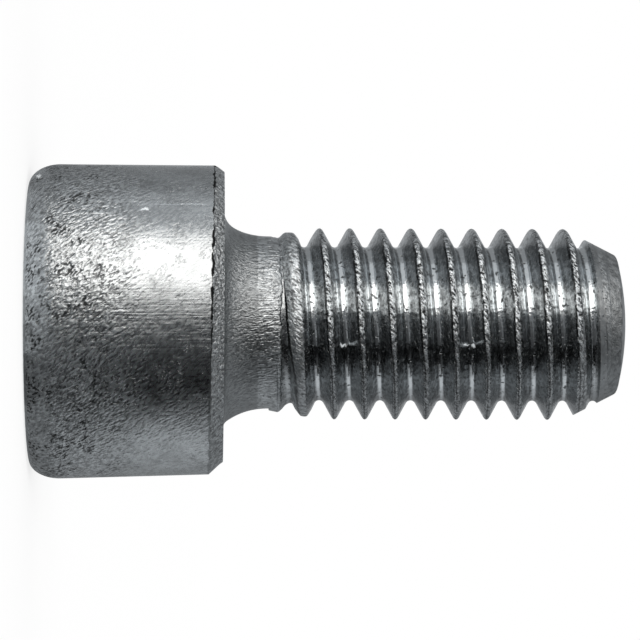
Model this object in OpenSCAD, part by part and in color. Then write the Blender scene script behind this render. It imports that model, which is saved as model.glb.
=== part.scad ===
// Socket head cap screw, forged and thread-rolled from one blank.
// It stands on its head: the head's outer face lies on z = 0 and the point is uppermost.
// Every height below is measured along the screw's axis, and every width across it.

/* [Head] */
// Diameter of the head at its widest
head_d = 12.84; // [12.4:0.02:13.4]
// How much narrower the head is at its seat than at its widest
head_draft = 0.2; // [0:0.02:0.5]
// Height of the head
head_h = 7.95; // [7.4:0.05:9]
// Width of the rounding at the head's outer edge
edge_w = 0.75; // [0.2:0.05:0.9]
// Height of the rounding at the head's outer edge
edge_h = 1.25; // [0.4:0.05:1.6]
// Width of the bevel that ends the head's side at the seat
bevel_w = 0.4; // [0.1:0.05:0.6]
// Height of the bevel that ends the head's side at the seat
bevel_h = 0.52; // [0.2:0.02:0.9]

/* [Socket] */
// Width of the hexagon socket across its flats
socket_af = 6; // [5.4:0.05:6.4]
// Depth of the socket's flats
socket_depth = 4.35; // [3.6:0.05:4.8]
// Height of the shallow cone that the punch leaves at the bottom
socket_cone_h = 0.6; // [0.3:0.05:0.9]
// Width of the chamfer left outside the socket's corners
mouth_w = 0.2; // [0.1:0.05:0.5]
// Height of the chamfer where it meets the socket's corners
mouth_h = 0.12; // [0.06:0.02:0.4]

/* [Neck] */
// Width of the fillet between seat and neck
fillet_w = 0.9; // [0.5:0.05:1.1]
// Height of the fillet between seat and neck
fillet_h = 1.8; // [1.4:0.05:2.2]
// Length of the plain neck between the fillet and the thread
neck_len = 0.2; // [0.1:0.05:1]

/* [Thread] */
// Length of the shank, from the seat to the top of the domed end
shank_len = 16.4; // [14:0.05:25]
// Diameter over the thread's crests
thread_d = 7.84; // [7.4:0.02:8.2]
// Pitch of the right-hand thread
pitch = 1.25; // [1:0.05:1.5]
// Length over which the thread rises from the neck to its full height
runout_len = 2; // [1.2:0.1:3]
// Angle about the axis at which a crest is level with the seat
thread_turn = 145; // [0:5:355]

/* [Point] */
// Diameter of the point at its end
point_d = 5.8; // [5.2:0.05:6.2]
// Half angle of the point's cone
point_angle = 27; // [20:1:45]
// Radius of the corner between the cone and the domed end
point_corner = 0.16; // [0.08:0.02:0.3]
// Height of the domed end above its corner
dome_h = 0.36; // [0.1:0.02:0.6]

/* [Hidden] */

// Resolution of round parts, of arcs in a profile and of the thread's helix
$fn = 96;
arc_steps = 8;
turn_steps = 36;

// Thread form: flanks at 60 degrees to each other, crests an eighth of the pitch wide, round roots
flank_angle = 30;
crest_w = pitch / 8;
root_roundness = 0.13;
root_r = pitch * root_roundness;
root_foot = root_r * cos(flank_angle);
root_rise = root_r * (1 - sin(flank_angle));
flank_h = (pitch / 2 - crest_w / 2 - root_foot) / tan(flank_angle);
thread_h = flank_h + root_rise;

// Rolling pushes as much metal up into the crests as it takes out of the roots, so the neck is as
// thick as the middle of the thread, and the blank under the thread is this much thinner again
neck_r = (thread_d - thread_h) / 2;
blank_step = 0.03;
blank_r = neck_r - blank_step;
crest_rise = thread_d / 2 - blank_r;
root_fall = thread_h - crest_rise;
// The crests jump to this share of their height in a small share of the run-out, and reach all of it
// at the run-out's end. Where they are low they are also wider, by this much at either edge.
jump_height = 0.4;
jump_share = 0.06;
crest_spread = 0.2;
// The roots start after the crests, and reach their full depth in this share of the run-out.
root_delay = 0.1;
root_share = 0.45;

// Heights of the seat, of the ends of the fillet and the neck and of the end of the screw
seat_z = head_h;
fillet_z = seat_z + fillet_h;
neck_z = fillet_z + neck_len;
end_z = seat_z + shank_len;

// Half widths of the head and socket
head_r = head_d / 2;
seat_r = head_r - head_draft / 2;
socket_r = socket_af / 2 / cos(30);
mouth_r = socket_r + mouth_w;
mouth_slope = mouth_w / mouth_h;

// The thread starts to rise just inside the neck. Its helix starts further in, where it is still
// plain, and runs past the end of the screw.
sunk = 0.1;
rise_z = neck_z - sunk;
start_z = rise_z - pitch / 2;
// Room for a cut to pass clear of the surface that it opens
clear = 1;

// Colour of bare steel
steel = [0.46, 0.48, 0.5];

// A quarter of an ellipse from angle a to angle b, w by h, about the centre c
function arc(c, w, h, a, b) = [
    for (s = [0 : arc_steps])
        let (t = a + (b - a) * s / arc_steps)
        [c[0] + w * cos(t), c[1] + h * sin(t)]
];

// Outline of the head, its seat, the fillet and the neck, from the axis outwards and back
head_outline = concat(
    [[0, 0]],
    arc([head_r - edge_w, edge_h], edge_w, edge_h, -90, 0),
    [[seat_r, seat_z - bevel_h], [seat_r - bevel_w, seat_z]],
    arc([neck_r + fillet_w, fillet_z], fillet_w, fillet_h, 270, 180),
    [[neck_r, neck_z], [0, neck_z]]
);

// Outline that the point is turned to: a cone, a round corner and a low dome
point_rim = point_d / 2 - point_corner;
point_edge = arc(
    [point_rim, end_z - dome_h - point_corner],
    point_corner, point_corner, point_angle, 90
);
dome_r = (pow(point_rim, 2) + pow(dome_h, 2)) / (2 * dome_h);
dome_dip = [for (s = [arc_steps - 1 : -1 : 0]) point_rim * s / arc_steps];
outline_r = thread_d / 2 + clear;
cone_drop = (outline_r - point_edge[0][0]) / tan(point_angle);
point_outline = concat(
    [[0, start_z - pitch], [outline_r, start_z - pitch]],
    [[outline_r, point_edge[0][1] - cone_drop]],
    point_edge,
    [for (r = dome_dip) [r, end_z - dome_r + sqrt(pow(dome_r, 2) - pow(r, 2))]]
);

// Thread profile over one pitch, from root to root: [height along the axis, height above the blank]
root_angles = [0, (90 - flank_angle) / 2, 90 - flank_angle];
function root_point(side, t) = [
    side * (pitch / 2 - root_r * sin(t)),
    root_r * (1 - cos(t)) - root_fall
];
profile = concat(
    [for (t = root_angles) root_point(-1, t)],
    [for (side = [-1, 1]) [side * crest_w / 2, crest_rise]],
    [for (s = [len(root_angles) - 1 : -1 : 1]) root_point(1, root_angles[s])]
);
columns = len(profile);

// How much of its full height the thread has at a height z, for a crest and for a root
function runout(z) = min(1, max(0, (z - rise_z) / runout_len));
function crest_growth(z) =
    jump_height * min(1, runout(z) / jump_share) + (1 - jump_height) * pow(runout(z), 1.5);
function root_growth(z) = min(1, max(0, runout(z) - root_delay) / root_share);
function grown(rise, z) = rise * (rise > 0 ? crest_growth(z) : root_growth(z));
function spread_out(point, z) =
    point[1] > 0 ? sign(point[0]) * crest_spread * (1 - crest_growth(z)) : 0;

start_turn = thread_turn + 360 * (start_z - seat_z) / pitch;
steps = ceil((end_z + pitch - start_z) / pitch * turn_steps);
function step_z(i) = start_z + pitch * i / turn_steps;
function thread_point(i, k) =
    let (a = start_turn + 360 * i / turn_steps, z = step_z(i) + profile[k][0])
    let (r = blank_r + grown(profile[k][1], z))
    [r * cos(a), r * sin(a), z + spread_out(profile[k], z)];

// Number of the point in column k of step i: past the last column comes the next turn's first
function at(i, k) = k < columns ? i * columns + k : (i + turn_steps) * columns;
function start_centre() = (steps + 1) * columns;
function end_centre() = start_centre() + 1;

// The rolled shank before its point is formed: a helical sheet, closed at both ends by fans
module rolled_shank() {
    points = concat(
        [for (i = [0 : steps], k = [0 : columns - 1]) thread_point(i, k)],
        [[0, 0, step_z(0)], [0, 0, step_z(steps)]]
    );
    sheet = [
        for (i = [0 : steps - 1], k = [0 : columns - 1])
            if (k < columns - 1 || i + turn_steps < steps)
                for (corner = [[at(i, k + 1), at(i + 1, k + 1)], [at(i + 1, k + 1), at(i + 1, k)]])
                    [at(i, k), corner[0], corner[1]]
    ];
    start_fan = concat(
        [for (i = [0 : turn_steps - 1]) [start_centre(), at(i, 0), at(i + 1, 0)]],
        [for (k = [0 : columns - 1]) [start_centre(), at(0, k + 1), at(0, k)]]
    );
    last_turn = steps - turn_steps;
    end_fan = concat(
        [
            for (i = [last_turn : steps - 1])
                [end_centre(), at(i + 1, columns - 1), at(i, columns - 1)]
        ],
        [for (k = [0 : columns - 2]) [end_centre(), at(steps, k), at(steps, k + 1)]],
        [[end_centre(), at(last_turn, columns - 1), at(steps, 0)]]
    );
    polyhedron(points = points, faces = concat(sheet, start_fan, end_fan));
}

module threaded_shank() {
    intersection() {
        rolled_shank();
        rotate_extrude() polygon(point_outline);
    }
}

// Hexagon socket: flats, the punch's cone below them and a chamfered mouth
module socket() {
    translate([0, 0, -clear])
        cylinder(r = socket_r, h = socket_depth + clear, $fn = 6);
    translate([0, 0, socket_depth])
        cylinder(r1 = socket_af / 2, r2 = 0, h = socket_cone_h);
    translate([0, 0, -clear])
        cylinder(r1 = mouth_r + clear * mouth_slope, r2 = 0, h = clear + mouth_r / mouth_slope);
}

module cap_screw() {
    color(steel) {
        difference() {
            rotate_extrude() polygon(head_outline);
            socket();
        }
        threaded_shank();
    }
}

cap_screw();
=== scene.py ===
"""A socket head cap screw of bare steel, forged, trimmed and thread-rolled, standing on its head."""
import math

import bpy
import numpy as np
from mathutils import Matrix, Vector


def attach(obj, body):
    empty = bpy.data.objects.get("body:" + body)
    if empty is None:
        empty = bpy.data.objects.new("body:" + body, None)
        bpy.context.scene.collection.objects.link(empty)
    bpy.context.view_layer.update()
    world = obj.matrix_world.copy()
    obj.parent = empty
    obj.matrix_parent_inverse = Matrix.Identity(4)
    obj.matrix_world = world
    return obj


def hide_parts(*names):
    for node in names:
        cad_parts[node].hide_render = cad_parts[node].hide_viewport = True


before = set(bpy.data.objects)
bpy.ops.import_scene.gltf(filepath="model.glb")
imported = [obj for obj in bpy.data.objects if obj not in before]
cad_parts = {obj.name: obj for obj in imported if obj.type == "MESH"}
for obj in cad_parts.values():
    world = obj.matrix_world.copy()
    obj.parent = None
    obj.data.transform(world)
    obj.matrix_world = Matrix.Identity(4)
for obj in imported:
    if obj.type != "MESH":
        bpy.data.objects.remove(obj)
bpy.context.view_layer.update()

# ---------------------------------------------------------------- sizes, in millimetres
MM = 0.001
TURN = 2 * math.pi

# Head
HEAD_R = 6.42           # at its widest
HEAD_DRAFT = 0.1        # how much smaller its radius is at the bearing face
HEAD_H = 7.95
EDGE_W, EDGE_H = 0.75, 1.25
BEVEL_W, BEVEL_H = 0.38, 0.48

# The forging is uneven. The bevel is larger on the +X side and as much smaller on the -X side.
EDGE_W_SWELL = 0.08     # how much wider the edge's rounding is on the -X side
BEVEL_W_SWELL, BEVEL_H_SWELL = 0.16, 0.1
BEARING_DIP = 0.07      # how far the bearing face leans down at its +X side ...
DIP_REACH = 0.6         # ... and in what height above it the fillet is true again

# Socket
SOCKET_AF = 6.0
SOCKET_DEPTH = 4.35
SOCKET_CONE_H = 0.6
MOUTH_W, MOUTH_H = 0.2, 0.12

# Neck
FILLET_W, FILLET_H = 0.9, 1.8
NECK_LEN = 0.2

# Thread: its roots are worn rounder than they were rolled, and its crests have fallen away from their
# middles, given as (distance from the middle, fall)
PITCH = 1.25
THREAD_R = 3.92
THREAD_TURN = 145       # degrees: where a crest would be level with the bearing face
CREST_W = PITCH / 8
ROOT_R = 0.13 * PITCH
WORN_ROOT_R = 0.168 * PITCH
CREST_FALLS = ((0.045, 0.014), (0.09, 0.054), (0.14, 0.13))

# Run-out: the crests jump up out of the neck and then rise more slowly. They are wider where they have no
# height yet, and the roots start later.
RUNOUT_LEN = 2.0
SUNK = 0.1              # how far inside the neck the thread starts to rise
BLANK_STEP = 0.03       # how much thinner the blank under the thread is than the neck
JUMP_HEIGHT = 0.4       # share of their height that the crests jump to ...
JUMP_SHARE = 0.06       # ... in this share of the run-out
RISE_POWER = 1.5        # power of the run-out's share that the rest of their height follows
CREST_SPREAD = 0.2      # how much wider a crest is at either edge where it has no height yet
ROOT_DELAY = 0.1        # share of the run-out that the roots wait for ...
ROOT_SHARE = 0.45       # ... and in which they then reach their full depth

# Point
END_Z = 24.35
POINT_R = 2.9
POINT_ANGLE = 27
POINT_CORNER = 0.16
DOME_H = 0.36
SHANK_END_Z = 23.5      # the skin is drawn as columns up to here, and as rings above

# Thread form: flanks at 60 degrees and round roots, rolled half outwards and half inwards
FLANK = math.radians(30)
ROOT_RISE = ROOT_R * (1 - math.sin(FLANK))
THREAD_H = (PITCH / 2 - CREST_W / 2 - ROOT_R * math.cos(FLANK)) / math.tan(FLANK) + ROOT_RISE
NECK_R = THREAD_R - THREAD_H / 2
CREST_RISE = THREAD_R - NECK_R + BLANK_STEP
ROOT_FALL = THREAD_H - CREST_RISE
FILLET_Z = HEAD_H + FILLET_H
NECK_Z = FILLET_Z + NECK_LEN
RISE_Z = NECK_Z - SUNK

# The screw isn't quite straight: how far each stretch stands out of line, towards +X, and the heights
# between which it steps there
HEAD_LEAN = -0.009      # per mm of height
NECK_SHIFT = 0.105
NECK_BEND = (HEAD_H - 0.3, HEAD_H + 0.3)
THREAD_SHIFT = 0.05     # further than the neck
THREAD_BEND = (NECK_Z - 0.4, NECK_Z + 1.4)
THREAD_LEAN = 0.003     # per mm of height above the neck

# Where finishes change
EDGE_FINISH_Z = 0.12    # up to here the edge has the end face's finish
DRAWN_Z = 9.28          # below here the neck is duller
ROLLED_Z = 10.2         # up to here the shank has the neck's finish ...
FORMED_Z = 11.7         # ... and from here on the crests look fully formed
CUT_Z = (22.8, 23.0)    # between these heights the crests pass into what the point's cone has cut
ROOT_RIDGE = 0.27       # how far from a root's painted highlight, towards the head, a bright line runs

# Scratches on the side that faces the camera: height, distance towards +X, length, width
LONG_WIPE = (6.1, -4.66, 2.6, 0.05)
SHORT_NICK = (4.75, -4.45, 0.4, 0.16)
EDGE_NICK = (0.45, -5.86, 0.26, 0.16)
THREAD_NICKS = ((12.7, 0.96, 0.26, 0.2), (17.64, 0.93, 0.3, 0.08), (17.92, 0.96, 0.16, 0.15))

# How finely the skin is drawn: the points round the screw, a multiple of 6 so that the socket's corners
# fall on points, and the rings of points in each stretch
COLUMNS = 288
ANGLES = TURN * np.arange(COLUMNS) / COLUMNS
SOCKET_CONE_RINGS, SOCKET_WALL_RINGS, MOUTH_RINGS, FACE_RINGS = 6, 8, 12, 12
EDGE_RINGS, SIDE_RINGS, BEVEL_RINGS, BEARING_RINGS, FILLET_RINGS = 14, 26, 5, 6, 24
POINT_CONE_RINGS, POINT_CORNER_RINGS, DOME_RINGS = 4, 6, 12
ROOT_STEPS = 4          # steps of the arc from the middle of a root to a flank
END_MARGIN = 0.012      # how close a point of the thread may come to either end of its column
TOUCHING = 1e-9         # where distances over and under the cone multiply to less, it is only touched
CLOSE_SHARE = 0.1       # a crossing this close to either end of its stretch gets no point of its own
SHARP_ANGLE = 32        # degrees: edges that turn by more are shaded as sharp


def smooth(low, high, value):
    """0 where value is under low, 1 where it is over high, and a smooth rise between."""
    share = min(1.0, max(0.0, (value - low) / (high - low)))
    return share * share * (3 - 2 * share)


def out_of_line(z):
    """How far the screw's own middle stands from the Z axis at a height, towards +X."""
    shift = HEAD_LEAN * min(z, HEAD_H) + NECK_SHIFT * smooth(*NECK_BEND, z)
    shift += THREAD_SHIFT * smooth(*THREAD_BEND, z)
    return shift + THREAD_LEAN * max(0.0, z - NECK_Z)


def bevel_height(toward_x):
    """Height of the bevel under the bearing face, with toward_x 0 at the -X side and 1 at the +X side."""
    return BEVEL_H + BEVEL_H_SWELL * (2 * toward_x - 1)


def bevel_foot(toward_x):
    """Height where the head's side ends and its bevel starts."""
    return HEAD_H - BEARING_DIP * toward_x - bevel_height(toward_x)


# ---------------------------------------------------------------- camera
PIXELS = 640            # width and height of the picture
PIXELS_PER_MM = 24.4    # at the screw's axis
HEAD_FACE_X = 30        # picture column of the head's end face
AXIS_Y = 321.6          # picture row of the screw's axis
CAMERA_X = 205          # picture column that the camera stands square to, on the head near the neck
AIM_X = 319.5           # picture column that the camera is turned to
CAMERA_DISTANCE = 138.0
SENSOR_MM = 36.0
CLIP_NEAR, CLIP_FAR = 10.0, 10000.0


def add_camera():
    """The camera looks along +Y with the screw lying across the picture, its head to the left."""
    data = bpy.data.cameras.new("camera")
    view_width = PIXELS / PIXELS_PER_MM
    data.sensor_width = SENSOR_MM
    data.lens = SENSOR_MM * CAMERA_DISTANCE / view_width
    data.clip_start, data.clip_end = CLIP_NEAR * MM, CLIP_FAR * MM
    camera = bpy.data.objects.new("camera", data)
    bpy.context.scene.collection.objects.link(camera)
    camera_z = (CAMERA_X - HEAD_FACE_X) / PIXELS_PER_MM
    aim_z = (AIM_X - HEAD_FACE_X) / PIXELS_PER_MM
    camera_x = -(AXIS_Y - PIXELS / 2) / PIXELS_PER_MM
    place = Vector((camera_x, -CAMERA_DISTANCE, camera_z)) * MM
    up = Vector((-1, 0, 0))
    back = (place - Vector((camera_x, 0, aim_z)) * MM).normalized()
    turned = Matrix((up.cross(back), up, back)).transposed().to_4x4()
    camera.matrix_world = Matrix.Translation(place) @ turned
    bpy.context.scene.camera = camera


# ---------------------------------------------------------------- shader writing
class Wire:
    """The output of a node. Sums on it add Math nodes to the shading that it belongs to."""

    def __init__(self, shading, socket):
        self.shading = shading
        self.socket = socket

    def __add__(self, other):
        return self.shading.math("ADD", self, other)

    __radd__ = __add__

    def __sub__(self, other):
        return self.shading.math("SUBTRACT", self, other)

    def __rsub__(self, other):
        return self.shading.math("SUBTRACT", other, self)

    def __mul__(self, other):
        return self.shading.math("MULTIPLY", self, other)

    __rmul__ = __mul__

    def __truediv__(self, other):
        return self.shading.math("DIVIDE", self, other)

    def __abs__(self):
        return self.shading.math("ABSOLUTE", self)

    def above(self, low, high):
        """0 where this is under low, 1 where it is over high, and a smooth rise between."""
        return self.shading.node(
            "ShaderNodeMapRange",
            {"interpolation_type": "SMOOTHSTEP"},
            {0: self, 1: low, 2: high, 3: 0.0, 4: 1.0},
        )


class Shading:
    """Writes the nodes of one material or world."""

    def __init__(self, owner):
        self.owner = owner
        owner.use_nodes = True
        self.tree = owner.node_tree
        self.tree.nodes.clear()

    def node(self, kind, settings=None, inputs=None, output=0):
        """Adds any node: its settings first, then the values or wires of its sockets."""
        made = self.tree.nodes.new(kind)
        for name, value in (settings or {}).items():
            setattr(made, name, value)
        for name, value in (inputs or {}).items():
            if isinstance(value, Wire):
                self.tree.links.new(value.socket, made.inputs[name])
            else:
                made.inputs[name].default_value = value
        return Wire(self, made.outputs[output]) if made.outputs else None

    def math(self, operation, *values):
        return self.node("ShaderNodeMath", {"operation": operation}, dict(enumerate(values)))

    def most(self, first, *others):
        """The largest of several masks at each place."""
        for other in others:
            first = self.math("MAXIMUM", first, other)
        return first


class Finish(Shading):
    """One finish of the screw, with the place on it in millimetres."""

    def __init__(self, name):
        super().__init__(bpy.data.materials.new(name))
        place = self.node("ShaderNodeTexCoord", output="Object")
        self.place = self.vector_math("SCALE", {0: place, "Scale": 1 / MM})
        self.x, self.y, self.z = (
            self.node("ShaderNodeSeparateXYZ", {}, {0: self.place}, output=axis) for axis in "XYZ"
        )

    def vector_math(self, operation, inputs):
        return self.node("ShaderNodeVectorMath", {"operation": operation}, inputs)

    def stretched(self, along, across, slant=0.0):
        """The place on the screw, scaled along its axis and across it.

        A pattern on it has spots about 1 / along long and 1 / across wide, slanted by degrees a mm.
        """
        place = self.place
        if slant:
            place = self.node(
                "ShaderNodeVectorRotate",
                {"rotation_type": "Z_AXIS"},
                {"Vector": place, "Angle": self.z * math.radians(slant)},
            )
        return self.vector_math("MULTIPLY", {0: place, 1: (across, across, along)})

    def grain(self, place, scale=1.0, detail=3.0, roughness=0.55):
        """Cloudy noise from 0 to 1 about 0.5, with spots about 1 / scale wide."""
        return self.node(
            "ShaderNodeTexNoise",
            {},
            {"Vector": place, "Scale": scale, "Detail": detail, "Roughness": roughness},
        )

    def scratch(self, z, x, length, width):
        """1 on a ragged scratch along the axis on the -Y side, and 0 off it."""
        ragged = self.grain(self.place, scale=7.0, detail=3.0, roughness=0.7) - 0.5
        along = abs(self.z - z + ragged * (length * 0.8)) / length
        across = abs(self.x - x + ragged * (width * 2.2)) / width
        near = (1 - along.above(0.3, 0.5)) * (1 - across.above(0.2, 0.5))
        return near * (1 - self.y.above(-0.2, 0.0))

    def mix_colour(self, factor, first, second):
        """The first colour where factor is 0, and the second where it is 1."""
        return self.node(
            "ShaderNodeMix",
            {"data_type": "RGBA"},
            {0: factor, 6: first, 7: second},
            output=2,
        )

    def bump(self, height, depth_mm):
        inputs = {"Height": height, "Distance": depth_mm * MM, "Strength": 1.0}
        return self.node("ShaderNodeBump", {}, inputs)

    def metal(self, colour, roughness, normal, metallic=1.0):
        """Closes the finish as bare steel. Where metallic falls, the colour shows in any light."""
        inputs = {
            "Base Color": colour,
            "Roughness": roughness,
            "Metallic": metallic,
            "Normal": normal,
        }
        shader = self.node("ShaderNodeBsdfPrincipled", {}, inputs)
        self.node("ShaderNodeOutputMaterial", {}, {"Surface": shader})
        return self.owner


def grey(level, cool=0.045):
    """A steel grey: a little less red and more blue than level."""
    return (level * (1 - cool), level, level * (1 + cool / 2), 1.0)


# ---------------------------------------------------------------- finishes
def shaded_fold(f, half_width):
    """1 on the torn fold between the head's side and its bevel, painted dark as the shade in it, and 0
    off it.
    """
    toward_x = f.x * (0.5 / HEAD_R) + 0.5
    torn = f.grain(f.place, scale=2.4, detail=4.0, roughness=0.72)
    width = f.grain(f.place, scale=1.9, detail=1.0).above(0.34, 0.62) * half_width + 0.012
    off = abs(f.z - bevel_foot(toward_x) + 0.24 * (torn - 0.44)) / width
    return (1 - off.above(0.6, 1.3)) * (1 - 0.6 * toward_x.above(0.5, 0.75))


def forged_side():
    """Side of the head: pitted and grained on its outer part, wiped smoother towards the neck."""
    f = Finish("forged_side")
    side = f.x * (1 / HEAD_R)           # -1 at the -X side, 1 at the +X side
    ragged = f.grain(f.place, scale=1.1, detail=3.0)
    outer = 1 - (f.z + 3 * (ragged - 0.5)).above(2.8, 5.4)
    gritty = f.most(outer, 0.42 * side.above(0.44, 0.6))
    grit = f.grain(f.stretched(5.5, 8.5, slant=5.0), detail=1.5, roughness=0.6)

    nest = f.grain(f.place, scale=1.1, detail=2.0).above(0.5, 0.6)
    pit_field = f.grain(f.stretched(8.0, 9.5, slant=6.0), detail=0.5)
    spread_pits = f.most(outer * (0.3 + 0.6 * nest), nest * 0.15)
    pits = (pit_field + 0.08 * nest).above(0.61, 0.65) * spread_pits

    wipes = f.grain(f.stretched(0.3, 15.0), detail=3.0, roughness=0.65)
    wiped = 0.06 + 0.26 * side.above(-0.3, -0.1) * (1 - 0.8 * side.above(0.14, 0.28))
    height = grit * (0.16 + 0.85 * gritty) - pits * 1.1 + wipes * wiped

    blotches = f.grain(f.place, scale=0.8, detail=3.0)
    colour = f.mix_colour(blotches.above(0.3, 0.7), grey(0.5), grey(0.64))
    colour = f.mix_colour(outer * 0.3, colour, grey(0.36))
    # Painted glints: white flecks on the grit's peaks
    colour = f.mix_colour(grit.above(0.5, 0.6) * (0.22 + 0.4 * gritty), colour, grey(0.9))
    # Painted shade in the grit's hollows, and near black in the pits
    hollows = 1 - grit.above(0.36, 0.45)
    colour = f.mix_colour(hollows * (0.14 + 0.32 * gritty), colour, grey(0.16))
    colour = f.mix_colour(pits * 0.95, colour, grey(0.02))
    colour = f.mix_colour(f.scratch(*LONG_WIPE) * 0.8, colour, grey(1.0))
    nicks = f.most(f.scratch(*SHORT_NICK), f.scratch(*EDGE_NICK))
    colour = f.mix_colour(nicks, colour, grey(0.95))
    fold = shaded_fold(f, 0.052)
    # Painted shade: the fold between side and bevel is painted near black
    colour = f.mix_colour(fold, colour, grey(0.015))
    roughness = 0.22 + 0.12 * pits + 0.07 * grit.above(0.42, 0.55) + 0.3 * fold
    return f.metal(colour, roughness, f.bump(height, 0.06), 1 - nicks)


def forged_face():
    """Outer face of the head: scale-pitted, with a flat and dull sheen."""
    f = Finish("forged_face")
    pocks = f.grain(f.place, scale=5.0, detail=4.0)
    fine = f.grain(f.place, scale=16.0, detail=2.0)
    height = pocks + fine * 0.4
    colour = f.mix_colour(pocks.above(0.35, 0.65), grey(0.4), grey(0.58))
    return f.metal(colour, 0.36 + 0.15 * (pocks - 0.5), f.bump(height, 0.03))


def trimmed_band():
    """Bevel and bearing face: sheared, then dulled by handling."""
    f = Finish("trimmed_band")
    chatter = f.grain(f.place, scale=6.5, detail=3.0, roughness=0.65)
    crystals = f.grain(f.place, scale=9.0, detail=1.0)
    colour = f.mix_colour(chatter.above(0.36, 0.64), grey(0.22), grey(0.56))
    colour = f.mix_colour(crystals.above(0.56, 0.66) * 0.7, colour, grey(0.9))
    # Painted shade in the fold at the bevel's foot
    colour = f.mix_colour(shaded_fold(f, 0.045), colour, grey(0.015))
    return f.metal(colour, 0.42, f.bump(chatter + crystals, 0.08))


def punched_socket():
    """Socket: walls wiped smooth along the punch's travel."""
    f = Finish("punched_socket")
    wipes = f.grain(f.stretched(0.6, 10.0), detail=3.0)
    clouds = f.grain(f.place, scale=1.5)
    colour = f.mix_colour(clouds.above(0.3, 0.7), grey(0.36), grey(0.52))
    return f.metal(colour, 0.32 + 0.2 * (clouds - 0.5), f.bump(wipes, 0.012))


def neck_look(f):
    """Colour, roughness and height of the drawn neck: short wavy streaks along the axis."""
    streaks = f.grain(f.stretched(3.4, 11.0, slant=1.5), detail=2.0, roughness=0.6)
    lines = f.grain(f.stretched(0.9, 17.0), detail=2.0)
    grits = f.grain(f.place, scale=9.0, detail=1.0)
    colour = f.mix_colour(streaks.above(0.36, 0.62), grey(0.36), grey(0.68))
    colour = f.mix_colour(grits.above(0.6, 0.68) * 0.6, colour, grey(0.1))
    return colour, 0.3 + 0.08 * (streaks - 0.5), streaks + lines * 0.4 + grits * 0.4


def drawn_neck():
    """Neck and fillet, duller where the fillet turns up to the head."""
    f = Finish("drawn_neck")
    colour, roughness, height = neck_look(f)
    ragged = f.grain(f.place, scale=3.0, detail=2.0)
    turned = 1 - (f.z + 0.2 * (ragged - 0.5)).above(DRAWN_Z - 0.04, DRAWN_Z + 0.04)
    colour = f.mix_colour(turned * 0.52, colour, grey(0.2))
    return f.metal(colour, roughness + 0.09 * turned, f.bump(height, 0.05))


class ThreadFinish(Finish):
    """The thread's finish, with the stretches and edges that its marks are laid out by."""

    def __init__(self, name):
        super().__init__(name)
        self.side = self.x * (1 / THREAD_R)         # -1 at the -X side, 1 at the +X side
        self.lower = self.side.above(0.1, 0.6)      # the part towards +X
        self.shaded_side = self.side.above(-0.15, 0.35)   # where the crests' flecks get painted shade
        self.unformed = 1 - self.z.above(ROLLED_Z, FORMED_Z)
        self.cut = self.z.above(*CUT_Z)
        self.fray = self.grain(self.place, scale=7.0, detail=2.0) - 0.5
        self.wander = self.grain(self.place, scale=2.4, detail=3.0) - 0.5
        self.from_crest = self.along_thread()

    def along_thread(self, offset=0.0):
        """Distance in mm from the nearest crest of the thread, along the axis and towards the point.

        With an offset, from the nearest place that is so far past a crest.
        """
        middle = THREAD_SHIFT * self.z.above(*THREAD_BEND) + NECK_SHIFT
        angle = self.math("ARCTAN2", self.y, self.x - middle)
        turns = (self.z - HEAD_H - offset) / PITCH - angle / TURN + THREAD_TURN / 360 + 0.5
        return (self.math("FRACT", turns) - 0.5) * PITCH

    def crest(self):
        """1 on the torn strip along each crest, which is wider where the crest isn't formed yet."""
        off = abs(self.from_crest + 0.1 * self.fray + 0.1 * self.unformed - 0.02)
        strip = 1 - (off - 0.26 * self.unformed).above(0.09, 0.16)
        strip = strip * (0.35 + 0.65 * (self.side + 0.6 * self.wander).above(-0.95, -0.6))
        return strip * (1 - 0.8 * self.cut)

    def torn_colour(self, tears):
        """Colour of the torn strips: black, grey and white flecks; the white ones are painted glints."""
        colour = self.mix_colour(tears.above(0.4, 0.48), grey(0.04), grey(0.6))
        colour = self.mix_colour(tears.above(0.5, 0.57), colour, grey(1.0))
        colour = self.mix_colour(self.shaded_side * 0.6, colour, grey(0.32))
        return self.mix_colour(self.unformed * 0.4, colour, grey(0.75))

    def seam(self):
        """1 on the broken dark line by each crest: partly the fold rolling leaves, partly painted shade.
        """
        middle = 0.1 * self.lower - 0.11 - 0.35 * self.unformed + 0.09 * self.wander
        line = 1 - abs(self.from_crest - middle).above(0.02, 0.05)
        broken = self.grain(self.place, scale=2.2, detail=2.0).above(0.33, 0.43)
        reach = (self.side - 0.5 * self.unformed).above(-0.97, -0.7)
        return line * broken * reach * (1 - 0.35 * self.lower) * (1 - 0.85 * self.cut)

    def root_and_ridge(self):
        """1 on the painted highlight along each root, and 1 on a bright line beside it, on the -X half.
        """
        off = self.along_thread(PITCH / 2) + self.side * 0.02 - 0.042 + 0.06 * self.fray
        root = 1 - (abs(off) + abs(self.side) * 0.08 + self.side * 0.03).above(0.1, 0.18)
        ridge = 1 - abs(off + ROOT_RIDGE).above(0.015, 0.045)
        return root * (1 - 0.8 * self.unformed), ridge * (1 - self.lower)


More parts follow.
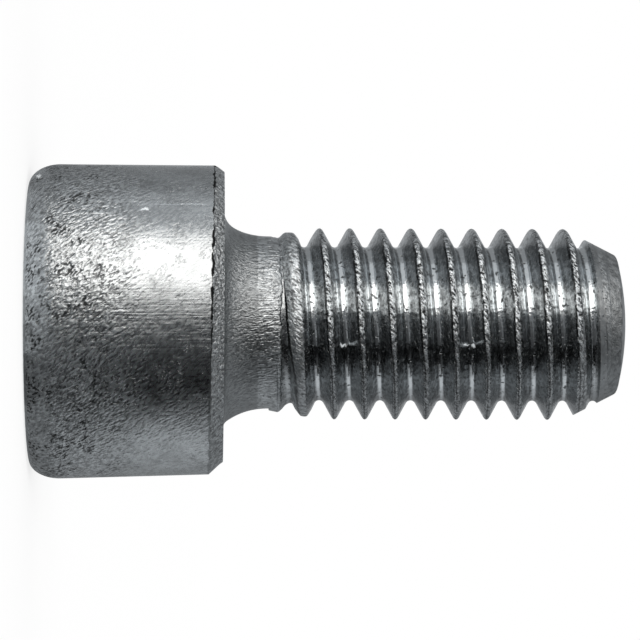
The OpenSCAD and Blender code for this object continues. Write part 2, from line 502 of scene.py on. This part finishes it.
def rolled_thread():
    """Thread: flanks and roots burnished by the dies, crests torn, rolling folds, painted light and
    shade.
    """
    f = ThreadFinish("rolled_thread")
    ripple = f.grain(f.place, scale=2.2, detail=2.0)
    mottle = f.grain(f.place, scale=5.5, detail=1.5, roughness=0.6)
    colour = f.mix_colour(ripple.above(0.3, 0.7), grey(0.28), grey(0.37))
    colour = f.mix_colour(mottle.above(0.48, 0.58) * 0.35, colour, grey(0.8))
    colour = f.mix_colour((1 - mottle.above(0.38, 0.48)) * 0.45, colour, grey(0.14))
    # Painted light: the flank before each crest, facing the head and floor, is painted lighter
    lit_flank = 1 - abs(f.from_crest + 0.24).above(0.08, 0.2)
    colour = f.mix_colour(lit_flank * 0.35, colour, grey(0.5))
    root, ridge = f.root_and_ridge()
    # Painted highlight along each root, where the dies also burnished it smoother, and a bright line
    # beside it
    colour = f.mix_colour(f.most(root * 0.95, ridge * 0.7), colour, grey(0.86))
    specks = f.grain(f.place, scale=7.0, detail=0.0).above(0.7, 0.76)
    colour = f.mix_colour(specks * 0.85, colour, grey(0.06))
    colour = f.mix_colour(f.cut * 0.7, colour, grey(0.33))

    crest = f.crest()
    tears = f.grain(f.stretched(5.5, 8.0, slant=-10.0), detail=2.0, roughness=0.65)
    colour = f.mix_colour(crest, colour, f.torn_colour(tears))
    # Painted shade, with the rolling fold, along the head-facing edge of each crest
    colour = f.mix_colour(f.seam(), colour, grey(0.02))
    nicks = f.most(*(f.scratch(*nick) for nick in THREAD_NICKS))
    colour = f.mix_colour(nicks, colour, grey(0.95))
    burnish = f.grain(f.stretched(9.0, 0.8), detail=2.0)
    height = crest * tears * 1.7 + burnish * 0.05 + ripple * 0.1 + mottle * 0.2 - specks * 0.5
    roughness = 0.13 + 0.14 * abs(mottle - 0.5).above(0.03, 0.1)
    roughness = roughness + 0.12 * crest + 0.1 * f.unformed + 0.2 * f.cut - 0.05 * root

    # The shank keeps the neck's finish up to where the thread rises
    neck_colour, neck_roughness, neck_height = neck_look(f)
    bare = 1 - (f.z + 0.3 * f.wander).above(ROLLED_Z - 0.03, ROLLED_Z + 0.03)
    colour = f.mix_colour(bare, colour, neck_colour)
    height = height * (1 - bare) + neck_height * bare
    roughness = roughness * (1 - bare) + neck_roughness * bare
    # Painted glints: the crests' white flecks lose their metal, so they show in any light
    flecks = crest * tears.above(0.5, 0.57) * (1 - f.shaded_side) * (1 - 0.8 * f.unformed) * 0.45
    return f.metal(colour, roughness, f.bump(height, 0.055), 1 - f.most(nicks, flecks))


def formed_point():
    """Cone and domed end: as the blank's sheared end was left."""
    f = Finish("formed_point")
    pocks = f.grain(f.place, scale=4.0, detail=4.0, roughness=0.6)
    fine = f.grain(f.place, scale=12.0, detail=2.0)
    colour = f.mix_colour(pocks.above(0.35, 0.65), grey(0.23), grey(0.42))
    height = pocks + fine * 0.5
    return f.metal(colour, 0.5 + 0.2 * (pocks - 0.5), f.bump(height, 0.04))


FINISHES = {
    "side": forged_side,
    "face": forged_face,
    "band": trimmed_band,
    "socket": punched_socket,
    "neck": drawn_neck,
    "thread": rolled_thread,
    "point": formed_point,
}


# ---------------------------------------------------------------- the screw's form
def hexagon(angles):
    """Distance from the axis to the socket's flats at each angle."""
    sixth = TURN / 6
    return SOCKET_AF / 2 / np.cos(angles % sixth - sixth / 2)


def after(start, end, steps):
    """Even steps from start to end, without start itself."""
    return np.linspace(start, end, steps + 1)[1:]


def arc(centre, width, height, start, end, steps):
    """Points of an elliptical arc between two angles in degrees, both ends included."""
    turn = np.radians(np.linspace(start, end, steps + 1))
    return [(centre[0] + width * math.cos(t), centre[1] + height * math.sin(t)) for t in turn]


def rings_of_head():
    """Rings of points from the bottom of the socket, over the face and side of the head, to the neck.

    Each is given as its radii, its heights and the finish of the band that follows it.
    """
    rings = []
    toward_x = (1 + np.cos(ANGLES)) / 2

    def add(radius, z, finish):
        rings.append((np.broadcast_to(radius, COLUMNS), np.broadcast_to(z, COLUMNS), finish))

    half = SOCKET_AF / 2
    for share in after(0, 1, SOCKET_CONE_RINGS):
        add(half * share, SOCKET_DEPTH + SOCKET_CONE_H * (1 - share), "socket")
    hexed = hexagon(ANGLES)
    add(hexed, SOCKET_DEPTH, "socket")
    slope = MOUTH_W / MOUTH_H
    mouth_r = half / math.cos(TURN / 12) + MOUTH_W
    scallop_z = (mouth_r - half) / slope
    for z in after(SOCKET_DEPTH, scallop_z, SOCKET_WALL_RINGS):
        add(hexed, z, "socket")
    for z in after(scallop_z, 0, MOUTH_RINGS):
        add(np.maximum(hexed, mouth_r - z * slope), z, "socket" if z > 0 else "face")

    edge_w = EDGE_W + EDGE_W_SWELL * (1 - toward_x)
    for share in after(0, 1, FACE_RINGS):
        add(mouth_r + (HEAD_R - edge_w - mouth_r) * share, 0, "face")
    for turn in np.radians(after(-90, 0, EDGE_RINGS)):
        z = EDGE_H * (1 + math.sin(turn))
        radius = HEAD_R - edge_w * (1 - math.cos(turn))
        add(radius, z, "side" if z > EDGE_FINISH_Z else "face")
    foot = bevel_foot(toward_x)
    for share in after(0, 1, SIDE_RINGS):
        z = EDGE_H + (foot - EDGE_H) * share
        add(HEAD_R - HEAD_DRAFT * share, z, "side" if share < 1 else "band")

    bevel_r = HEAD_R - HEAD_DRAFT
    bearing_r = bevel_r - BEVEL_W - BEVEL_W_SWELL * (2 * toward_x - 1)
    for share in after(0, 1, BEVEL_RINGS):
        radius = bevel_r + (bearing_r - bevel_r) * share
        add(radius, foot + bevel_height(toward_x) * share, "band")
    fillet_r = NECK_R + FILLET_W
    dip = BEARING_DIP * toward_x
    for share in after(0, 1, BEARING_RINGS):
        radius = bearing_r + (fillet_r - bearing_r) * share
        add(radius, HEAD_H - dip, "band" if share < 1 else "neck")
    for r, z in arc((fillet_r, FILLET_Z), FILLET_W, FILLET_H, 270, 180, FILLET_RINGS)[1:]:
        add(r, z - dip * (1 - smooth(HEAD_H, HEAD_H + DIP_REACH, z)), "neck")
    return rings


def growth(z):
    """Share of its full height that the thread has at a height, for a crest and for a root."""
    share = min(1.0, max(0.0, (z - RISE_Z) / RUNOUT_LEN))
    crest = JUMP_HEIGHT * min(1.0, share / JUMP_SHARE) + (1 - JUMP_HEIGHT) * share**RISE_POWER
    return crest, min(1.0, max(0.0, share - ROOT_DELAY) / ROOT_SHARE)


def thread_profile():
    """One pitch of thread from root to root: (height along the axis, rise above the blank)."""
    root = [
        (WORN_ROOT_R * math.sin(t), WORN_ROOT_R * (1 - math.cos(t)) - ROOT_FALL)
        for t in np.linspace(0, math.pi / 2 - FLANK, ROOT_STEPS + 1)
    ]
    crest = [(0.0, CREST_RISE)] + [(off, CREST_RISE - fall) for off, fall in CREST_FALLS]
    flank = ((PITCH / 2 - root[-1][0] + crest[-1][0]) / 2, (root[-1][1] + crest[-1][1]) / 2)
    half = crest + [flank] + [(PITCH / 2 - off, rise) for off, rise in reversed(root)]
    return [(-off, rise) for off, rise in reversed(half[1:])] + half[:-1]


def cone_radius(z):
    """Radius of the point's cone at a height."""
    lean = math.radians(POINT_ANGLE)
    edge_r = POINT_R - POINT_CORNER + POINT_CORNER * math.cos(lean)
    edge_z = END_Z - DOME_H - POINT_CORNER * (1 - math.sin(lean))
    return edge_r + (edge_z - z) * math.tan(lean)


def thread_column(angle, profile):
    """The points of the shank at one angle, from the neck to the cone, as (radius, height)."""
    base_z = HEAD_H + PITCH * (angle / TURN - THREAD_TURN / 360)
    first = math.floor((FILLET_Z - base_z) / PITCH) - 1
    last = math.ceil((SHANK_END_Z - base_z) / PITCH) + 1
    column = [(NECK_R, FILLET_Z)]
    for turn in range(first, last + 1):
        for along, rise in profile:
            z = base_z + turn * PITCH + along
            crest_growth, root_growth = growth(z)
            if along:
                spread = smooth(-CREST_RISE, CREST_RISE / 2, rise) * (1 - crest_growth)
                z += math.copysign(CREST_SPREAD * spread, along)
            if FILLET_Z + END_MARGIN < z < SHANK_END_Z - END_MARGIN:
                r = NECK_R - BLANK_STEP * smooth(RISE_Z, NECK_Z, z)
                r += rise * (crest_growth if rise > 0 else root_growth)
                column.append((r, z))
    column.append((THREAD_R - THREAD_H, SHANK_END_Z))
    return cut_by_cone(column)


def cut_by_cone(column):
    """The column with what stands out of the point's cone cut back to it.

    A point is added at each crossing, unless it would fall close to one of the column's own.
    """
    cut = []
    for (r, z), (next_r, next_z) in zip(column, column[1:] + column[-1:]):
        over, next_over = r - cone_radius(z), next_r - cone_radius(next_z)
        cut.append((min(r, cone_radius(z)), z))
        if over * next_over < -TOUCHING:
            share = over / (over - next_over)
            if CLOSE_SHARE < share < 1 - CLOSE_SHARE:
                cross_z = z + (next_z - z) * share
                cut.append((cone_radius(cross_z), cross_z))
    return cut


def rings_of_point():
    """Rings from the end of the columns over the cone and the dome, as (radius, height)."""
    rim = POINT_R - POINT_CORNER
    corner_z = END_Z - DOME_H - POINT_CORNER
    corner = arc(
        (rim, corner_z), POINT_CORNER, POINT_CORNER, POINT_ANGLE, 90, POINT_CORNER_RINGS
    )
    cone = [(cone_radius(z), z) for z in after(SHANK_END_Z, corner[0][1], POINT_CONE_RINGS)]
    dome_r = (rim * rim + DOME_H * DOME_H) / (2 * DOME_H)
    radii = after(rim, 0, DOME_RINGS)[:-1]
    dome = [(r, END_Z - dome_r + math.sqrt(dome_r * dome_r - r * r)) for r in radii]
    return cone + corner[1:] + dome


class Skin:
    """Points and faces of the screw's one closed skin, with a finish for each face."""

    def __init__(self):
        self.points = []
        self.faces = []
        self.finishes = []

    def add_point(self, r, angle, z):
        self.points.append((r * math.cos(angle) + out_of_line(z), r * math.sin(angle), z))
        return len(self.points) - 1

    def add_ring(self, radii, heights):
        return [self.add_point(r, a, z) for r, a, z in zip(radii, ANGLES, heights)]

    def add_face(self, corners, finish):
        self.faces.append(corners)
        self.finishes.append(list(FINISHES).index(finish))

    def join_rings(self, low, high, finish):
        """Joins two rings with a band of four-cornered faces."""
        for i in range(COLUMNS):
            j = (i + 1) % COLUMNS
            self.add_face((low[i], low[j], high[j], high[i]), finish)

    def join_columns(self, left, right, finish):
        """Zips two columns of points with triangles, always across the shorter diagonal."""
        i = j = 0
        while i < len(left) - 1 or j < len(right) - 1:
            if j == len(right) - 1:
                step_left = True
            elif i == len(left) - 1:
                step_left = False
            else:
                rise_left = self.points[left[i + 1]][2] - self.points[right[j]][2]
                rise_right = self.points[right[j + 1]][2] - self.points[left[i]][2]
                step_left = abs(rise_left) < abs(rise_right)
            if step_left:
                self.add_face((left[i], right[j], left[i + 1]), finish)
                i += 1
            else:
                self.add_face((left[i], right[j], right[j + 1]), finish)
                j += 1


def build_skin():
    """The skin from the bottom of the socket, round the head and along the shank, to the domed end."""
    skin = Skin()
    rings = rings_of_head()
    centre = skin.add_point(0, 0, SOCKET_DEPTH + SOCKET_CONE_H)
    radii, heights, below_finish = rings[0]
    below = skin.add_ring(radii, heights)
    for i in range(COLUMNS):
        skin.add_face((centre, below[(i + 1) % COLUMNS], below[i]), "socket")
    for radii, heights, finish in rings[1:]:
        above = skin.add_ring(radii, heights)
        skin.join_rings(below, above, below_finish)
        below, below_finish = above, finish

    profile = thread_profile()
    columns = []
    for i, angle in enumerate(ANGLES):
        points = thread_column(angle, profile)
        columns.append([below[i]] + [skin.add_point(r, angle, z) for r, z in points[1:]])
    for i in range(COLUMNS):
        skin.join_columns(columns[i], columns[(i + 1) % COLUMNS], "thread")

    below = [column[-1] for column in columns]
    for r, z in rings_of_point():
        above = skin.add_ring([r] * COLUMNS, [z] * COLUMNS)
        skin.join_rings(below, above, "point")
        below = above
    tip = skin.add_point(0, 0, END_Z)
    for i in range(COLUMNS):
        skin.add_face((below[i], below[(i + 1) % COLUMNS], tip), "point")
    return skin


def add_piece(name, points, faces, materials):
    """Adds a mesh object. Its points are in millimetres."""
    mesh = bpy.data.meshes.new(name)
    mesh.from_pydata((np.array(points, float) * MM).tolist(), [], faces)
    for material in materials:
        mesh.materials.append(material)
    piece = bpy.data.objects.new(name, mesh)
    bpy.context.scene.collection.objects.link(piece)
    return piece


def add_stage(name, points, faces, material):
    """Adds a piece of the studio, which is no part of the screw."""
    piece = add_piece(name, points, faces, [material])
    return piece


def add_screw():
    """The screw as one mesh object, in place of the CAD model's node."""
    skin = build_skin()
    materials = [make_finish() for make_finish in FINISHES.values()]
    screw = add_piece("screw_body", skin.points, skin.faces, materials)
    screw.data.polygons.foreach_set("material_index", skin.finishes)
    screw.data.shade_smooth()
    screw.data.set_sharp_from_angle(angle=math.radians(SHARP_ANGLE))
    screw.data.validate()
    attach(screw, "root")
    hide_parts("cap_screw")


# ---------------------------------------------------------------- studio
WHITE = (1, 1, 1, 1)
ROOM_LEVEL = 0.7        # light from all sides on what is painted
SUN_ANGLE, SUN_ELEVATION = 5, 50    # degrees: from the camera towards -X, and up from the floor
SUN_STRENGTH = 1.2
SUN_SOFTNESS = 35       # degrees that it is across

FLOOR_R = 2500.0
FLOOR_HOLE_R = 5.4      # it is open out to here, where the head hides it
FLOOR_DROP = 0.01
FLOOR_STEPS = 96        # points round it
PLAIN_SHARE = 0.75      # how much of the floor's look is its plain white, and how much its lit paint

# Cards stand round the screw and lie on the floor, and only the steel shows them. Those that lie on
# others are lifted two or three times as far off the floor.
CARD_LIFT = 0.03
CARD_STEP = 5           # degrees between the bends of a card, about
RING_STEPS = 72         # points round a card that is a full ring
CARD_WARMTH = -0.03     # how much more red and less blue it glows than its level
TENT_R, TENT_H = 200.0, 300.0
FOOT_R = 14.0           # the upright cards carry on over the floor to this distance from the axis
NEAR_R = (5.75, 9.5)    # this and the next three: from where to where the flat cards reach
SHADE_R = (14.0, 150.0)
HEAD_SHADE_R = (9.5, 30.0)
TOP_R = (0.001, TENT_R)

# Each card's name, the angles that it reaches from and to, in degrees from the camera towards -X, and
# its level
SOFTBOX = ("softbox_card", 22, 61, 2.15)
SOFTBOX_WARMTH = 0.035
UPRIGHT_CARDS = (
    ("left_card", 61, 104, 0.52),
    ("far_left_card", 104, 160, 0.25),
    ("rear_card", 160, 190, 0.5),
    ("far_rear_card", 190, 220, 0.26),
    ("far_right_card", -113, -140, 0.36),
    ("right_card", -87, -113, 0.52),
    ("low_right_card", -67, -87, 0.29),
    ("flag_card", -32, -67, 0.006),
    ("shade_card", -10, -32, 0.05),
    ("pale_shade_card", 5, -10, 0.068),
    ("edge_card", 22, 5, 0.155),
)
NEAR_CARDS = (
    ("near_rear_card", 110, 240, 0.25),
    ("near_left_card", 62, 110, 0.3),
    ("near_upper_card", 42, 62, 0.42),
    ("near_softbox_card", 10, 42, 0.62),
    ("near_edge_card", -1, 10, 0.46),
    ("near_shade_card", -12, -1, 0.3),
    ("near_flag_card", -34, -12, 0.13),
    ("near_right_card", -120, -34, 0.22),
)
SHADE_CARDS = (
    ("floor_shade_card", 5, -8, 0.14),
    ("floor_dark_card", -8, -30, 0.07),
    ("floor_right_card", -50, -84, 0.04),
)
HEAD_SHADE_CARDS = (("head_shade_card", -8, -27, 0.32),)
TOP_LEVEL = 0.35
FOOT_LEVEL = 0.08


def background_factor(shading):
    """1 for rays that should see the plain background: from the camera, off gloss and through glass."""
    rays = ("Is Camera Ray", "Is Glossy Ray", "Is Transmission Ray")
    return shading.most(*(shading.node("ShaderNodeLightPath", output=ray) for ray in rays))


def add_world():
    """Plain white behind everything, and an even light on what is painted."""
    world = bpy.data.worlds.new("studio")
    sky = Shading(world)
    room, plain = (
        sky.node("ShaderNodeBackground", {}, {"Color": WHITE, "Strength": level})
        for level in (ROOM_LEVEL, 1.0)
    )
    mixed = sky.node("ShaderNodeMixShader", {}, {0: background_factor(sky), 1: room, 2: plain})
    sky.node("ShaderNodeOutputWorld", {}, {"Surface": mixed})
    bpy.context.scene.world = world


def ring_of_points(radii, z, steps):
    """Points of two flat rings about the axis, and the faces between them."""
    points, faces = [], []
    for s, a in enumerate(np.radians(np.linspace(0, 360, steps, endpoint=False))):
        points += [(r * math.cos(a), r * math.sin(a), z) for r in radii]
        t = (s + 1) % steps
        faces.append((2 * s, 2 * s + 1, 2 * t + 1, 2 * t))
    return points, faces


def add_floor():
    """A pale floor that keeps the screw's shadow."""
    f = Shading(bpy.data.materials.new("pale_floor"))
    paint = f.node("ShaderNodeBsdfDiffuse", {}, {"Color": WHITE})
    plain = f.node("ShaderNodeEmission", {}, {"Color": WHITE, "Strength": 1.0})
    share = background_factor(f) * PLAIN_SHARE
    mixed = f.node("ShaderNodeMixShader", {}, {0: share, 1: paint, 2: plain})
    f.node("ShaderNodeOutputMaterial", {}, {"Surface": mixed})
    points, faces = ring_of_points((FLOOR_HOLE_R, FLOOR_R), -FLOOR_DROP, FLOOR_STEPS)
    add_stage("floor", points, faces, f.owner)


def add_card(name, points, faces, level, warmth=CARD_WARMTH):
    """A card that glows evenly at a level. It is out of the picture, and only gloss shows it."""
    f = Shading(bpy.data.materials.new(name))
    colour = (level * (1 + warmth), level, level * (1 - warmth), 1)
    glow = f.node("ShaderNodeEmission", {}, {"Color": colour, "Strength": 1.0})
    f.node("ShaderNodeOutputMaterial", {}, {"Surface": glow})
    card = add_stage(name, points, faces, f.owner)
    card.visible_camera = False
    card.visible_diffuse = False
    card.visible_shadow = False
    card.visible_transmission = False
    card.visible_volume_scatter = False


def bent_card(start, end, rails):
    """Points and faces of a card in an arc about the axis, whose edges and folds are (radius, height)."""
    steps = max(2, round(abs(end - start) / CARD_STEP))
    points = []
    for a in np.radians(np.linspace(start, end, steps + 1)):
        points += [(-r * math.sin(a), -r * math.cos(a), z) for r, z in rails]
    wide = len(rails)
    faces = [
        (wide * s + k, wide * s + k + wide, wide * s + k + wide + 1, wide * s + k + 1)
        for s in range(steps) for k in range(wide - 1)
    ]
    return points, faces


def add_cards():
    """The cards that stand round the screw and lie beside it, and a ring over it and one on the floor."""
    upright = [(FOOT_R, CARD_LIFT), (TENT_R, CARD_LIFT), (TENT_R, TENT_H)]
    name, start, end, level = SOFTBOX
    add_card(name, *bent_card(start, end, upright), level, SOFTBOX_WARMTH)
    for cards, rails in (
        (UPRIGHT_CARDS, upright),
        (NEAR_CARDS, [(r, CARD_LIFT) for r in NEAR_R]),
        (SHADE_CARDS, [(r, 2 * CARD_LIFT) for r in SHADE_R]),
        (HEAD_SHADE_CARDS, [(r, 3 * CARD_LIFT) for r in HEAD_SHADE_R]),
    ):
        for name, start, end, level in cards:
            add_card(name, *bent_card(start, end, rails), level)
    add_card("top_card", *ring_of_points(TOP_R, TENT_H, RING_STEPS), TOP_LEVEL)
    foot_r = (NEAR_R[1], FOOT_R)
    add_card("foot_card", *ring_of_points(foot_r, CARD_LIFT, RING_STEPS), FOOT_LEVEL)


def add_sun():
    """A broad soft light from afar. No gloss shows it."""
    data = bpy.data.lights.new("sun", "SUN")
    data.energy = SUN_STRENGTH
    data.angle = math.radians(SUN_SOFTNESS)
    sun = bpy.data.objects.new("sun", data)
    bpy.context.scene.collection.objects.link(sun)
    a, e = math.radians(SUN_ANGLE), math.radians(SUN_ELEVATION)
    away = Vector((-math.sin(a) * math.cos(e), -math.cos(a) * math.cos(e), math.sin(e)))
    sun.location = away
    sun.rotation_mode = "QUATERNION"
    sun.rotation_quaternion = away.to_track_quat("Z", "Y")
    sun.visible_glossy = False


# ---------------------------------------------------------------- the scene
add_camera()
add_world()
add_floor()
add_cards()
add_sun()
add_screw()
bpy.context.scene.view_settings.view_transform = "Standard"
